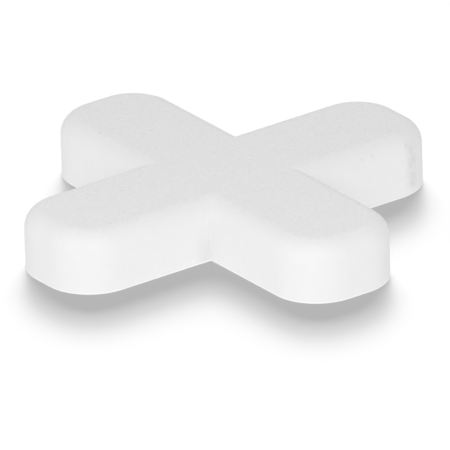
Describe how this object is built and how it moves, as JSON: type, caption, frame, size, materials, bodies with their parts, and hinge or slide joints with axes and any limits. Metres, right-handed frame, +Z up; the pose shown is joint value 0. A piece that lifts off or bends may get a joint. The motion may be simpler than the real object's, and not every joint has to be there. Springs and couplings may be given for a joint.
{
  "type": "tile spacer",
  "caption": "Flat moulded cross with rounded arm ends and a soft rolled top edge. It lies where tile corners meet and keeps the joints between the tiles even.",
  "frame": {"origin": "centre of the flat base, where the centre lines of the arms cross", "axes": "+X and +Y along the arms, +Z up from the base through the top face"},
  "size_m": [0.0224, 0.0224, 0.0032],
  "materials": {
    "moulded_plastic": "white, matte, with a very fine grain on the top face and plain moulded sides"
  },
  "bodies": {
    "root": {"tile_spacer": "moulded_plastic"}
  },
  "joints": []
}
